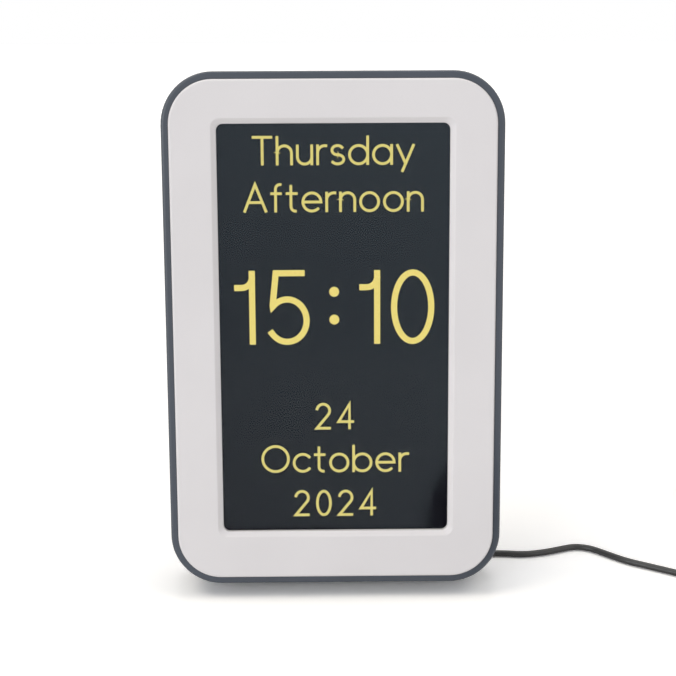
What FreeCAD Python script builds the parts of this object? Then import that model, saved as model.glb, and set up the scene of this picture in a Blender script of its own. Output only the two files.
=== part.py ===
"""Portrait day clock with a seven-inch colour display, a fold-out stand and a mains lead.

Each function of a piece makes one moulding, board or fastener set and carries its node's name. The
sizes run outwards from the display: the window sets the panel, the panel its module, the module and
the screw bosses the bezel, and the bezel the rear housing. The clock is drawn upright in its own
frame: x to the right, y from the bezel's front face to the back, z up from the underside of the
housing. At the end it is leaned back onto its stand and set on the table plane z = 0. The lead, its
coil and the mains adapter lie on that table. All sizes are millimetres.
"""

import FreeCAD
import Part
import math
import os

V = FreeCAD.Vector
X_AXIS = V(1, 0, 0)
Y_AXIS = V(0, 1, 0)
Z_AXIS = V(0, 0, 1)

# ---------------------------------------------------------------- driving dimensions
# display window: the active area of a 7-inch 1024 x 600 panel stood on end, with a hair of margin,
# and the slope round it
window_width = 86.4
window_height = 154.8
window_corner = 2.5
slope_run = 1.9
slope_depth = 1.2
slope_corner = 3.4
slope_edge_round = 0.8

# front bezel, which reaches past the display module by its bosses, its posts and these rooms
side_room = 1.9
top_room = 2.2
chin_room = 4.3
bezel_corner = 16.5
bezel_plate = 2.8
bezel_edge_round = 0.9
skirt_depth = 6.6
skirt_wall = 2.0

# rear housing
seam_gap = 0.15
housing_wall = 2.75
rim_setback = 1.2
rim_round = 1.2
body_depth = 27.4
rear_round = 7.5

# display stack
lens_thickness = 1.1
lens_lap = 3.5
lens_air_gap = 0.3
panel_thickness = 1.6
panel_border = 2.5
panel_corner = 0.8
module_thickness = 5.4
module_side_border = 4.0
module_end_border = 2.5
module_corner = 1.5
module_rim_step = 0.5
lens_bearing_side = 2.0
lens_bearing_end = 0.4

# clamps that hold the display module to the bezel
clamp_thickness = 1.0
clamp_width = 8.0
clamp_lap = 4.5
clamp_corner = 1.5
clamp_spacing = 60.0
clamp_post_radius = 3.0
clamp_post_gap = 0.8

# circuit boards
board_clearance = 3.8
board_thickness = 1.6
board_corner = 1.5
board_edge_gap = 0.7
main_board_bottom = 14.0
main_board_height = 60.0
key_board_width = 46.0
key_board_height = 46.0
standoff_radius = 2.8
board_hole_inset = 4.5
low_hole_raise = 1.5

# flat cable and flex between the boards and the display
ribbon_width = 20.0
ribbon_thickness = 0.3
ribbon_end = 16.0
ribbon_bend = 9.0
ribbon_slope_end = 3.0
connector_rise = 32.0
connector_height = 6.0
connector_depth = 1.8
connector_side = 2.0
key_lead_x = 10.0
key_lead_width = 8.0
key_lead_thickness = 0.6
key_lead_lap = 4.0

# parts on the main board
part_corner = 0.4
part_gap = 5.0
processor_size = 12.0
processor_rise = 22.0
chip_thickness = 1.1
memory_width = 8.0
memory_height = 6.0
crystal_width = 10.0
crystal_height = 4.5
crystal_depth = 3.4
supply_from_jack = 18.0
supply_rise = 6.5
regulator_size = 6.5
regulator_depth = 2.3
inductor_size = 7.0
inductor_depth = 3.6
capacitor_radius = 2.5
tallest_part_gap = 1.2
speaker_header_size = 5.0
speaker_header_inset = 1.0
speaker_header_gap = 1.6

# backup cell
coin_radius = 10.0
coin_thickness = 2.5
coin_chamfer = 0.4
holder_base = 0.8
holder_wall = 1.2
holder_depth = 2.6
holder_edge_inset = 21.5
holder_rise = 26.0

# screws
small_screw_radius = 1.0
small_head_radius = 1.9
small_head_height = 1.3
case_screw_radius = 1.5
case_head_radius = 2.8
case_head_height = 2.0
case_screw_inset = 17.8
counterbore_radius = 3.1
counterbore_depth = 4.0
case_boss_radius = 4.6
bezel_boss_radius = 3.2
module_to_boss = 0.6
boss_joint_depth = 16.0
bezel_boss_floor = 2.0
clamp_screw_end_gap = 0.6
case_screw_end_gap = 1.0
head_chamfer = 0.45
thread_fit = 0.02
hole_fit = 0.2

# rear buttons
button_below_vents = 32.9
button_pitch = 13.0
button_radius = 4.0
button_fit = 0.25
button_proud = 0.9
button_travel = 0.7
button_flange_radius = 5.2
button_flange_thickness = 1.0
button_seat_gap = 0.2
button_stem_radius = 1.6
button_end_gap = 0.1
button_top_round = 0.6
button_dish_radius = 12.0
button_dish_depth = 0.35
switch_size = 6.0
switch_body_height = 3.5
switch_actuator_radius = 1.75
switch_actuator_height = 1.5

# speaker and its grille
speaker_radius = 14.0
speaker_flange_thickness = 1.2
speaker_cone_depth = 2.9
speaker_magnet_radius = 7.0
speaker_magnet_depth = 3.0
speaker_cone_edge = 2.0
speaker_cap_inset = 1.5
speaker_cap_depth = 2.0
speaker_cap_rise = 0.6
speaker_wire_radius = 0.5
speaker_wire_pitch = 2.4
speaker_wire_inset = 0.9
speaker_ring_wall = 1.3
speaker_ring_reach = 1.0
speaker_fit = 0.3
gasket_thickness = 0.8
gasket_width = 2.5
grille_hole_radius = 0.9
grille_pitch = 3.4
grille_rings = 3

# vent slots
vent_count = 7
vent_width = 1.8
vent_height = 16.0
vent_pitch = 6.0
vent_below_top = 22.0

# stance on the table
lean_deg = 8.0
front_height = 5.5

# fold-out stand and its hinge
stand_width = 66.0
stand_reach = 55.0
stand_thickness = 3.0
stand_corner = 9.0
stand_edge_round = 0.6
stand_side_gap = 0.5
stand_face_gap = 0.4
hinge_height = 5.2
barrel_radius = 3.2
barrel_gap = 0.3
knuckle_length = 18.7
knuckle_end_gap = 0.3
pin_radius = 1.0
pin_fit = 0.05
pin_end_gap = 0.1
pin_chamfer = 0.2
ear_depth = 4.0
stop_gap = 0.15
recess_lining = 2.4
finger_radius = 9.0
pad_proud = 1.0
pad_sunk = 0.6
pad_radius = 4.5
pad_inset = 9.0
pad_fit = 0.05
pad_chamfer = 0.3
grip_rows = 3
grip_length = 20.0
grip_width = 2.4
grip_depth = 0.8
grip_pitch = 4.0
grip_from_end = 7.0

# front feet
foot_length = 8.0
foot_depth = 6.4
foot_corner = 2.5
foot_centre = 16.2
foot_side_gap = 0.6
foot_sunk = 0.8
foot_fit = 0.05

# power socket and plug
jack_side_gap = 1.6
jack_height = 52.0
jack_size = 9.0
jack_wall_gap = 0.1
jack_nose_radius = 3.9
jack_nose_fit = 0.2
jack_nose_sunk = 0.6
socket_radius = 2.8
socket_floor = 2.2
socket_pin_radius = 1.0
socket_pin_sunk = 1.5
plug_sleeve_radius = 2.75
plug_sleeve_bore = 1.1
plug_sleeve_floor = 1.0
plug_sleeve_end_gap = 1.2
plug_gap = 0.3
plug_head_radius = 5.0
plug_head_depth = 9.0
plug_head_round = 1.2
plug_neck_radius = 4.2
plug_neck_length = 10.0
relief_length = 13.0
relief_radius = 2.9
relief_wall = 0.4
relief_grooves = 3
relief_groove_start = 2.6
relief_groove_pitch = 2.4
relief_groove_width = 0.8
relief_core = 0.3

# lead
cord_radius = 1.3
cord_lift = 0.05
bend_share = 0.45

# coil of the spare lead: rows of turns nested in each other's hollows
coil_x = 170.0
coil_y = 24.0
coil_mean_radius = 14.6
coil_columns = 4
coil_rows = 4
coil_chamfer = 0.8
tie_width = 7.0
tie_thickness = 0.6
tie_fit = 0.1
tie_chamfer = 1.0

# mains adapter
adapter_length = 42.0
adapter_width = 32.0
adapter_height = 26.0
adapter_round = 3.0
adapter_y = 63.0
adapter_cord_height = 8.5
adapter_relief_length = 11.0
adapter_relief_radius = 2.6
pin_base_width = 30.0
pin_base_depth = 13.0
pin_base_height = 2.0
mains_pin_radius = 2.0
mains_pin_length = 19.0
mains_pin_spacing = 18.6
mains_pin_chamfer = 1.0
mains_pin_offset = 4.0

# ---------------------------------------------------------------- derived places
lean = math.radians(lean_deg)
lens_width = window_width + 2 * lens_lap
lens_height = window_height + 2 * lens_lap
panel_width = window_width + 2 * panel_border
panel_height = window_height + 2 * panel_border
module_width = panel_width + 2 * module_side_border
module_height = panel_height + 2 * module_end_border
boss_span = module_to_boss + 2 * bezel_boss_radius
post_span = clamp_post_gap + 2 * clamp_post_radius
bezel_width = module_width + 2 * (boss_span + side_room + skirt_wall)
bezel_height = module_height + 2 * (post_span + skirt_wall) + top_room + chin_room
body_width = bezel_width + 2 * (seam_gap + housing_wall)
body_height = bezel_height + 2 * (seam_gap + housing_wall)
body_corner = bezel_corner + seam_gap + housing_wall
centre_z = body_height / 2
window_z = centre_z + (chin_room - top_room) / 2

lens_front = bezel_plate
lens_back = lens_front + lens_thickness
module_front = lens_back + lens_air_gap
panel_back = module_front + panel_thickness
module_back = module_front + module_thickness
board_front = module_back + board_clearance
board_back = board_front + board_thickness
inner_back = body_depth - housing_wall

case_screw_x = module_width / 2 + module_to_boss + bezel_boss_radius
case_screw_pitch = centre_z - case_screw_inset
case_screw_places = [
    (side * case_screw_x, centre_z + row * case_screw_pitch)
    for side in (-1, 1)
    for row in (-1, 0, 1)
]
clamp_low_z = window_z - module_height / 2 - clamp_post_radius - clamp_post_gap
clamp_high_z = window_z + module_height / 2 + clamp_post_radius + clamp_post_gap
clamp_places = [
    (side * clamp_spacing / 2, z) for side in (-1, 1) for z in (clamp_low_z, clamp_high_z)
]


def to_table(y, z):
    """The upright clock's point (y, z) as (depth, height) on the table, before the last shift."""
    depth = y * math.cos(lean) + z * math.sin(lean)
    height = z * math.cos(lean) - y * math.sin(lean) + front_height
    return depth, height


# The folded stand lies flush with the back, and the open one lies pad_proud above the table. Both
# faces are the same distance from the hinge axis, which settles how far back the axis is.
hinge_y = (body_depth - hinge_height * math.cos(lean) - front_height + pad_proud) / (
    1 - math.sin(lean)
)
hinge_depth, hinge_up = to_table(hinge_y, hinge_height)
pocket_front = hinge_y - barrel_radius - barrel_gap
pocket_top = hinge_height + barrel_radius + barrel_gap
recess_floor = body_depth - stand_thickness - stand_face_gap
recess_half = stand_width / 2 + stand_side_gap
recess_top = hinge_height + stand_reach + stand_side_gap
lining_half = recess_half + recess_lining
lining_front = recess_floor - recess_lining
header_back = lining_front - speaker_header_gap
pin_half = recess_half + ear_depth
lug_half = stand_width / 2 - knuckle_length - knuckle_end_gap
foot_x = lining_half + foot_side_gap + foot_length / 2

main_board_width = 2 * (case_screw_x - case_boss_radius - board_edge_gap)
main_board_top = main_board_bottom + main_board_height
connector_top = main_board_bottom + connector_rise
vent_z = body_height - vent_below_top
button_z = vent_z - button_below_vents
button_places = {
    "menu": (0, button_z),
    "up": (0, button_z + button_pitch),
    "down": (0, button_z - button_pitch),
    "left": (-button_pitch, button_z),
    "right": (button_pitch, button_z),
}
switch_tip = board_back + switch_body_height + switch_actuator_height
key_board_bottom = button_z - key_board_height / 2
speaker_z = (main_board_top + key_board_bottom) / 2
gasket_front = inner_back - gasket_thickness
holder_x = holder_edge_inset - main_board_width / 2
holder_z = main_board_bottom + holder_rise

main_hole_x = main_board_width / 2 - board_hole_inset
main_hole_heights = (
    main_board_bottom + board_hole_inset + low_hole_raise,
    main_board_top - board_hole_inset,
)
key_hole_x = key_board_width / 2 - board_hole_inset
key_hole_rise = key_board_height / 2 - board_hole_inset
main_board_holes = [(side * main_hole_x, z) for side in (-1, 1) for z in main_hole_heights]
key_board_holes = [
    (side * key_hole_x, button_z + end * key_hole_rise) for side in (-1, 1) for end in (-1, 1)
]
board_holes = main_board_holes + key_board_holes

jack_x = lining_half + jack_side_gap + jack_size / 2
jack_nose_back = body_depth - jack_nose_sunk
socket_front = board_back + socket_floor
plug_face = body_depth + plug_gap
plug_centre_y = plug_face + plug_head_depth / 2
plug_neck_end = jack_height - plug_neck_length
cord_exit_z = plug_neck_end - relief_length

cord_rest = cord_radius + cord_lift
coil_width = 2 * cord_radius * coil_columns
coil_height = 2 * cord_radius * (1 + (coil_rows - 1) * math.sin(math.radians(60)))
coil_outer = coil_mean_radius + coil_width / 2
outer_turn = coil_outer - cord_radius
coil_reach = math.sqrt(coil_outer**2 - (outer_turn - cord_radius) ** 2)
coil_lift = tie_thickness + tie_fit
coil_low_turn = coil_lift + cord_radius
coil_top_turn = coil_lift + coil_height - cord_radius
adapter_x = coil_x + outer_turn
adapter_pin_y = adapter_y + adapter_length / 2 + mains_pin_offset


# ---------------------------------------------------------------- shared shapes
def rounded_outline(width, height, corner, y, x=0.0, z=0.0):
    """A rounded rectangle's wire in the plane of depth y, centred on (x, z)."""
    half_w = width / 2
    half_h = height / 2
    corners = [(1, 1, 0), (-1, 1, 90), (-1, -1, 180), (1, -1, 270)]
    arcs = []
    for side, end, start in corners:
        cx = x + side * (half_w - corner)
        cz = z + end * (half_h - corner)
        points = []
        for turn in (0, 45, 90):
            angle = math.radians(start + turn)
            points.append(V(cx + corner * math.cos(angle), y, cz + corner * math.sin(angle)))
        arcs.append(points)
    edges = []
    for index, points in enumerate(arcs):
        edges.append(Part.Arc(*points).toShape())
        following = arcs[(index + 1) % 4][0]
        if points[2].distanceToPoint(following) > 1e-6:
            edges.append(Part.LineSegment(points[2], following).toShape())
    return Part.Wire(edges)


def slab(width, height, corner, y0, y1, x=0.0, z=0.0):
    """A rounded rectangle from depth y0 to depth y1."""
    face = Part.Face(rounded_outline(width, height, corner, y0, x, z))
    return face.extrude(V(0, y1 - y0, 0))


def round_end(width):
    """The corner radius that makes a slot's end round, a hair under half its width."""
    return width / 2 - 0.01


def block(x0, x1, y0, y1, z0, z1):
    """A box between two corners."""
    return Part.makeBox(x1 - x0, y1 - y0, z1 - z0, V(x0, y0, z0))


def rod(radius, y0, y1, x, z):
    """A cylinder along the depth."""
    return Part.makeCylinder(radius, y1 - y0, V(x, y0, z), Y_AXIS)


def cross_rod(radius, x0, x1, y, z):
    """A cylinder from left to right."""
    return Part.makeCylinder(radius, x1 - x0, V(x0, y, z), X_AXIS)


def screw(x, z, head_face, tip, shank, head_radius, head_height, head_side):
    """A pan-head screw along the depth. head_side is +1 when the head is at the back."""
    shaft = rod(shank, min(head_face, tip), max(head_face, tip), x, z)
    far = head_face + head_side * head_height
    head = rod(head_radius, min(head_face, far), max(head_face, far), x, z)
    head = head.makeChamfer(head_chamfer, edges_at_depth(head, far))
    return shaft.fuse(head).removeSplitter()


def edges_at_depth(shape, y):
    """The edges that lie wholly in the plane of depth y."""
    return [
        edge
        for edge in shape.Edges
        if abs(edge.BoundBox.YMin - y) < 1e-5 and abs(edge.BoundBox.YMax - y) < 1e-5
    ]


def profile_across(points, x0, x1):
    """A polygon of (y, z) points carried from x0 to x1."""
    wire = Part.makePolygon([V(x0, y, z) for y, z in points + points[:1]])
    return Part.Face(wire).extrude(V(x1 - x0, 0, 0))


def turned(points, x, z):
    """A solid of revolution about the depth axis through (x, z), from (radius, y) points."""
    wire = Part.makePolygon([V(x + radius, y, z) for radius, y in points + points[:1]])
    return Part.Face(wire).revolve(V(x, 0, z), Y_AXIS, 360)


def lean_back(shape):
    """An upright piece leaned back, before the last shift to the middle of the footprint."""
    placed = shape.copy()
    placed.rotate(V(0, 0, 0), X_AXIS, -lean_deg)
    placed.translate(V(0, 0, front_height))
    return placed


# ---------------------------------------------------------------- front bezel and display
def front_bezel():
    """The front moulding. A slope runs down to its window all round, then a short upright edge, and
    the lens is bonded to its back."""
    plate = slab(bezel_width, bezel_height, bezel_corner, 0, bezel_plate, 0, centre_z)
    plate = plate.makeFillet(bezel_edge_round, edges_at_depth(plate, 0))
    plate = plate.cut(slab(window_width, window_height, window_corner, 0, bezel_plate, 0, window_z))
    slope_width = window_width + 2 * slope_run
    slope_height = window_height + 2 * slope_run
    slope_top = rounded_outline(slope_width, slope_height, slope_corner, 0, 0, window_z)
    slope_foot = rounded_outline(window_width, window_height, window_corner, slope_depth, 0, window_z)
    plate = plate.cut(Part.makeLoft([slope_top, slope_foot], True, True))
    front = [face for face in plate.Faces if face.BoundBox.YMax < 1e-5][0]
    plate = plate.makeFillet(slope_edge_round, front.Wires[1].Edges)
    skirt_back = bezel_plate + skirt_depth
    skirt = slab(bezel_width, bezel_height, bezel_corner, bezel_plate, skirt_back, 0, centre_z)
    skirt = skirt.cut(
        slab(
            bezel_width - 2 * skirt_wall,
            bezel_height - 2 * skirt_wall,
            bezel_corner - skirt_wall,
            bezel_plate,
            skirt_back,
            0,
            centre_z,
        )
    )
    bezel = plate.fuse(skirt)
    for x, z in case_screw_places:
        bezel = bezel.fuse(rod(bezel_boss_radius, bezel_plate, boss_joint_depth, x, z))
    for x, z in clamp_places:
        bezel = bezel.fuse(rod(clamp_post_radius, bezel_plate, module_back, x, z))
    bezel = bezel.removeSplitter()
    for x, z in case_screw_places:
        pilot = case_screw_radius + thread_fit
        bezel = bezel.cut(rod(pilot, bezel_plate + bezel_boss_floor, boss_joint_depth, x, z))
    for x, z in clamp_places:
        pilot = small_screw_radius + thread_fit
        bezel = bezel.cut(rod(pilot, bezel_plate + bezel_boss_floor, module_back, x, z))
    return bezel


def display_lens():
    return slab(lens_width, lens_height, window_corner, lens_front, lens_back, 0, window_z)


def lcd_panel():
    return slab(panel_width, panel_height, panel_corner, module_front, panel_back, 0, window_z)


def lcd_backlight():
    """The display module's tray. Its front rim holds the panel and bears on the lens."""
    tray = slab(module_width, module_height, module_corner, module_front, module_back, 0, window_z)
    pocket_width = panel_width + 2 * hole_fit
    pocket_height = panel_height + 2 * hole_fit
    pocket_corner = panel_corner + hole_fit
    pocket = slab(pocket_width, pocket_height, pocket_corner, module_front, panel_back, 0, window_z)
    rim_width = module_width - 2 * module_rim_step
    rim_height = module_height - 2 * module_rim_step
    rim = slab(rim_width, rim_height, module_corner, lens_back, module_front, 0, window_z)
    sight_width = lens_width - 2 * lens_bearing_side
    sight_height = lens_height - 2 * lens_bearing_end
    sight = slab(sight_width, sight_height, panel_corner, lens_back, module_front, 0, window_z)
    return tray.cut(pocket).fuse(rim.cut(sight)).removeSplitter()


def lcd_clamps():
    """Four steel tabs from the bezel's posts onto the back of the module."""
    tabs = []
    for x, z in clamp_places:
        inward = 1 if z < window_z else -1
        outer = z - inward * clamp_post_radius
        inner = window_z - inward * (module_height / 2 - clamp_lap)
        length = abs(inner - outer)
        middle = (inner + outer) / 2
        back = module_back + clamp_thickness
        tab = slab(clamp_width, length, clamp_corner, module_back, back, x, middle)
        hole = rod(small_screw_radius + hole_fit, module_back, back, x, z)
        tabs.append(tab.cut(hole))
    return Part.makeCompound(tabs)


def clamp_screws():
    head_face = module_back + clamp_thickness
    tip = bezel_plate + bezel_boss_floor + clamp_screw_end_gap
    return Part.makeCompound(
        [
            screw(x, z, head_face, tip, small_screw_radius, small_head_radius, small_head_height, 1)
            for x, z in clamp_places
        ]
    )


# ---------------------------------------------------------------- rear housing
def housing_shell():
    """The moulded tray: a rounded box with an even wall, open at the front."""
    outer = slab(body_width, body_height, body_corner, rim_setback, body_depth, 0, centre_z)
    outer = outer.makeFillet(rear_round, edges_at_depth(outer, body_depth))
    outer = outer.makeFillet(rim_round, edges_at_depth(outer, rim_setback))
    inner = slab(
        body_width - 2 * housing_wall,
        body_height - 2 * housing_wall,
        body_corner - housing_wall,
        rim_setback - rim_round,
        inner_back,
        0,
        centre_z,
    )
    inner = inner.makeFillet(rear_round - housing_wall, edges_at_depth(inner, inner_back))
    return outer, outer.cut(inner)


def stand_recess_lining(outer):
    """The thickened wall behind the stand's recess, the hinge pocket and the pin's ears."""
    shallow = block(
        -lining_half,
        lining_half,
        lining_front,
        inner_back + housing_wall / 2,
        housing_wall / 2,
        recess_top + recess_lining,
    )
    notch = rod(
        finger_radius + recess_lining,
        lining_front,
        inner_back + housing_wall / 2,
        0,
        recess_top,
    )
    deep = block(
        -lining_half,
        lining_half,
        pocket_front - recess_lining,
        inner_back + housing_wall / 2,
        housing_wall / 2,
        pocket_top + recess_lining,
    )
    ears = cross_rod(
        barrel_radius, -pin_half - recess_lining / 2, pin_half + recess_lining / 2, hinge_y, hinge_height
    )
    return shallow.fuse(notch).fuse(deep).fuse(ears).common(outer)


def stand_recess_space():
    """What is cut away for the stand: a shallow bed, a deep hinge pocket and a finger notch."""
    below = -barrel_radius
    behind = body_depth + barrel_radius
    shallow = block(-recess_half, recess_half, recess_floor, behind, below, recess_top)
    deep = block(-recess_half, recess_half, pocket_front, behind, below, pocket_top)
    notch = rod(finger_radius, recess_floor, behind, 0, recess_top)
    return shallow.fuse(deep).fuse(notch)


def hinge_lug():
    """The lug between the stand's two knuckles that carries the middle of the pin."""
    web = block(
        -lug_half,
        lug_half,
        pocket_front - recess_lining / 2,
        hinge_y,
        hinge_height - barrel_radius,
        hinge_height + barrel_radius,
    )
    return web.fuse(cross_rod(barrel_radius, -lug_half, lug_half, hinge_y, hinge_height))


def grille_places():
    """Rings of six, twelve and eighteen holes round one in the middle."""
    places = [(0.0, speaker_z)]
    for ring in range(1, grille_rings + 1):
        for step in range(6 * ring):
            angle = 2 * math.pi * step / (6 * ring)
            places.append(
                (
                    ring * grille_pitch * math.cos(angle),
                    speaker_z + ring * grille_pitch * math.sin(angle),
                )
            )
    return places


def housing_holes():
    """Every hole and slot through the back wall, and the counterbores of the case screws."""
    through = body_depth + 1
    start = inner_back - 1
    cuts = [rod(grille_hole_radius, start, through, x, z) for x, z in grille_places()]
    for index in range(vent_count):
        x = (index - (vent_count - 1) / 2) * vent_pitch
        cuts.append(slab(vent_width, vent_height, round_end(vent_width), start, through, x, vent_z))
    for x, z in button_places.values():
        cuts.append(rod(button_radius + button_fit, start, through, x, z))
    cuts.append(rod(jack_nose_radius + jack_nose_fit, start, through, jack_x, jack_height))
    for x, z in case_screw_places:
        cuts.append(rod(counterbore_radius, body_depth - counterbore_depth, through, x, z))
        cuts.append(rod(case_screw_radius + hole_fit, boss_joint_depth, through, x, z))
    for x, z in board_holes:
        cuts.append(rod(small_screw_radius + thread_fit, board_back, inner_back, x, z))
    return Part.makeCompound(cuts)


def foot_seat(side, z0, z1, fit):
    """An upright rounded pad shape at the front foot on one side."""
    outline = rounded_outline(foot_length + 2 * fit, foot_depth + 2 * fit, foot_corner + fit, 0)
    outline.rotate(V(0, 0, 0), X_AXIS, 90)
    outline.translate(V(side * foot_x, foot_centre, z0))
    return Part.Face(outline).extrude(V(0, 0, z1 - z0))


def rear_housing():
    outer, shell = housing_shell()
    shell = shell.fuse(stand_recess_lining(outer))
    for x, z in case_screw_places:
        shell = shell.fuse(rod(case_boss_radius, boss_joint_depth, inner_back + 1, x, z).common(outer))
    for x, z in board_holes:
        shell = shell.fuse(rod(standoff_radius, board_back, inner_back + 1, x, z))
    ring_outer = speaker_radius + speaker_fit + speaker_ring_wall
    ring_front = gasket_front - speaker_flange_thickness - speaker_ring_reach
    ring = rod(ring_outer, ring_front, inner_back + 1, 0, speaker_z)
    ring = ring.cut(rod(speaker_radius + speaker_fit, ring_front, inner_back, 0, speaker_z))
    shell = shell.fuse(ring)
    shell = shell.cut(stand_recess_space())
    shell = shell.fuse(hinge_lug())
    shell = shell.cut(cross_rod(pin_radius + thread_fit, -pin_half, pin_half, hinge_y, hinge_height))
    shell = shell.cut(housing_holes())
    for side in (-1, 1):
        shell = shell.cut(foot_seat(side, -1, foot_sunk, foot_fit))
    return shell.removeSplitter()


def housing_screws():
    head_face = body_depth - counterbore_depth
    tip = bezel_plate + bezel_boss_floor + case_screw_end_gap
    return Part.makeCompound(
        [
            screw(x, z, head_face, tip, case_screw_radius, case_head_radius, case_head_height, 1)
            for x, z in case_screw_places
        ]
    )


# ---------------------------------------------------------------- electronics
def board(width, height, middle_z, holes):
    plate = slab(width, height, board_corner, board_front, board_back, 0, middle_z)
    for x, z in holes:
        plate = plate.cut(rod(small_screw_radius + hole_fit, board_front, board_back, x, z))
    return plate


def main_board():
    middle = main_board_bottom + main_board_height / 2
    return board(main_board_width, main_board_height, middle, main_board_holes)


def key_board():
    return board(key_board_width, key_board_height, button_z, key_board_holes)


def board_screws():
    tip = inner_back - housing_wall
    return Part.makeCompound(
        [
            screw(x, z, board_front, tip, small_screw_radius, small_head_radius, small_head_height, -1)
            for x, z in board_holes
        ]
    )


def supply_parts():
    """The regulator, the inductor and two capacitors, stacked up in a column beside the power socket."""
    x = jack_x - supply_from_jack
    room = lining_front - board_back
    parts = []
    z = main_board_bottom + supply_rise
    for size, depth in ((regulator_size, regulator_depth), (inductor_size, inductor_depth)):
        z += size / 2
        parts.append(slab(size, size, part_corner, board_back, board_back + depth, x, z))
        z += size / 2 + part_gap
    for _ in range(2):
        z += capacitor_radius
        parts.append(rod(capacitor_radius, board_back, board_back + room - tallest_part_gap, x, z))
        z += capacitor_radius + part_gap
    return parts


def board_components():
    """The chips, coil, capacitors and connectors on the main board."""
    half = ribbon_width / 2 + connector_side
    connector_front = board_front - connector_depth
    connector_low = connector_top - connector_height
    parts = [block(-half, half, connector_front, board_front, connector_low, connector_top)]
    z = main_board_bottom + processor_rise
    chip_back = board_back + chip_thickness
    parts.append(slab(processor_size, processor_size, part_corner, board_back, chip_back, 0, z))
    x = processor_size / 2 + part_gap + memory_width / 2
    parts.append(slab(memory_width, memory_height, part_corner, board_back, chip_back, x, z))
    x = -(processor_size + crystal_width) / 2
    z -= (processor_size + crystal_height) / 2
    crystal_back = board_back + crystal_depth
    parts.append(slab(crystal_width, crystal_height, part_corner, board_back, crystal_back, x, z))
    parts += supply_parts()
    half = speaker_header_size / 2
    header_top = main_board_top - speaker_header_inset
    header_low = header_top - speaker_header_size
    parts.append(block(-half, half, board_back, header_back, header_low, header_top))
    return Part.makeCompound(parts)


def button_switches():
    switches = []
    for x, z in button_places.values():
        body_back = board_back + switch_body_height
        body = slab(switch_size, switch_size, part_corner, board_back, body_back, x, z)
        switches.append(body.fuse(rod(switch_actuator_radius, body_back, switch_tip, x, z)))
    return Part.makeCompound(switches)


def lcd_ribbon():
    """The flat flex from the back of the module to the connector on the main board."""
    thick = ribbon_thickness
    entry = board_front - connector_depth / 2
    start = connector_top + ribbon_end
    bend = connector_top + ribbon_bend
    slope_end = connector_top + ribbon_slope_end
    points = [
        (module_back, start),
        (module_back, bend),
        (entry - thick, slope_end),
        (entry - thick, connector_top),
        (entry, connector_top),
        (entry, slope_end + thick),
        (module_back + thick, bend + thick),
        (module_back + thick, start),
    ]
    return profile_across(points, -ribbon_width / 2, ribbon_width / 2)


def key_board_lead():
    """The flat cable soldered across the two boards' front faces."""
    left = key_lead_x - key_lead_width / 2
    right = key_lead_x + key_lead_width / 2
    low = main_board_top - key_lead_lap
    high = key_board_bottom + key_lead_lap
    return block(left, right, board_front - key_lead_thickness, board_front, low, high)


def power_jack():
    body_back = inner_back - jack_wall_gap
    half = jack_size / 2
    body = block(
        jack_x - half, jack_x + half, board_back, body_back, jack_height - half, jack_height + half
    )
    jack = body.fuse(rod(jack_nose_radius, body_back, jack_nose_back, jack_x, jack_height))
    jack = jack.cut(rod(socket_radius, socket_front, jack_nose_back, jack_x, jack_height))
    pin_back = jack_nose_back - socket_pin_sunk
    return jack.fuse(rod(socket_pin_radius, socket_front, pin_back, jack_x, jack_height))


def cell_holder():
    outer = rod(coin_radius + holder_wall, board_back, board_back + holder_depth, holder_x, holder_z)
    seat = board_back + holder_base
    return outer.cut(rod(coin_radius + hole_fit, seat, board_back + holder_depth, holder_x, holder_z))


def backup_cell():
    front = board_back + holder_base
    back = front + coin_thickness
    cell = rod(coin_radius, front, back, holder_x, holder_z)
    return cell.makeChamfer(coin_chamfer, edges_at_depth(cell, back))


def speaker():
    flange_front = gasket_front - speaker_flange_thickness
    cone_front = flange_front - speaker_cone_depth
    magnet_front = cone_front - speaker_magnet_depth
    points = [
        (0, magnet_front),
        (speaker_magnet_radius, magnet_front),
        (speaker_magnet_radius, cone_front),
        (speaker_radius - speaker_cone_edge, flange_front),
        (speaker_radius, flange_front),
        (speaker_radius, gasket_front),
        (speaker_radius - gasket_width, gasket_front),
        (speaker_magnet_radius - speaker_cap_inset, gasket_front - speaker_cap_depth),
        (0, gasket_front - speaker_cap_depth + speaker_cap_rise),
    ]
    return turned(points, 0, speaker_z)


def speaker_gasket():
    outer = rod(speaker_radius, gasket_front, inner_back, 0, speaker_z)
    return outer.cut(rod(speaker_radius - gasket_width, gasket_front, inner_back, 0, speaker_z))


def speaker_leads():
    """Two thin wires from the speaker's rim to the header on the main board."""
    start_y = gasket_front - speaker_flange_thickness
    header_y = (board_back + header_back) / 2
    start_z = speaker_z - speaker_radius + speaker_wire_inset
    header_z = main_board_top - speaker_header_inset
    wires = []
    for side in (-1, 1):
        x = side * speaker_wire_pitch / 2
        route = [V(x, start_y, start_z), V(x, header_y, start_z), V(x, header_y, header_z)]
        wires.append(tube(route, speaker_wire_radius))
    return Part.makeCompound(wires)


# ---------------------------------------------------------------- buttons
def button(name):
    """A round cap with a dished top, a flange that keeps it in the wall, and a stem to its switch."""
    x, z = button_places[name]
    top = body_depth + button_proud
    flange_back = inner_back - button_seat_gap
    flange_front = flange_back - button_flange_thickness
    stem_front = switch_tip + button_travel + button_end_gap
    stem_root = flange_back - button_flange_thickness / 2
    cap = rod(button_radius, flange_back, top, x, z)
    cap = cap.makeFillet(button_top_round, edges_at_depth(cap, top))
    dish_centre = top + button_dish_radius - button_dish_depth
    cap = cap.cut(Part.makeSphere(button_dish_radius, V(x, dish_centre, z)))
    flange = rod(button_flange_radius, flange_front, flange_back, x, z)
    stem = rod(button_stem_radius, stem_front, stem_root, x, z)
    return cap.fuse(flange).fuse(stem).removeSplitter()


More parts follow.
